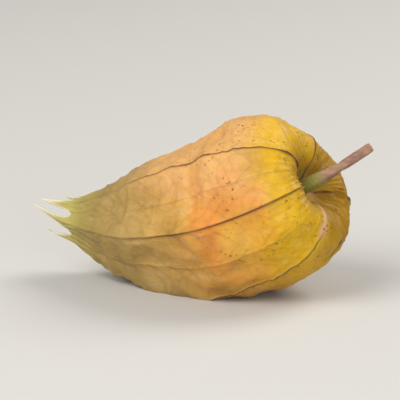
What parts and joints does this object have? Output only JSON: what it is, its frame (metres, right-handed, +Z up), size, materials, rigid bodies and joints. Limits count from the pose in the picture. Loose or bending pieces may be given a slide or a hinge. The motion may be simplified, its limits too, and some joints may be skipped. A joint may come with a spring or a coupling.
{
  "type": "physalis berry",
  "caption": "Physalis fruit as picked: an orange berry inside its dry, ribbed, papery husk with five pointed lobes, on a short stem, lying on its side.",
  "frame": {"origin": "on the surface that the fruit lies on, in the flat spot of the husk's belly", "axes": "+X from the husk's open tip towards the stem, +Z up"},
  "size_m": [0.0561, 0.0276, 0.0277],
  "materials": {
    "husk": "matte",
    "stem": "matte",
    "berry": "gloss"
  },
  "bodies": {
    "root": {"husk": "husk", "stem": "stem", "berry": "berry"}
  },
  "joints": []
}
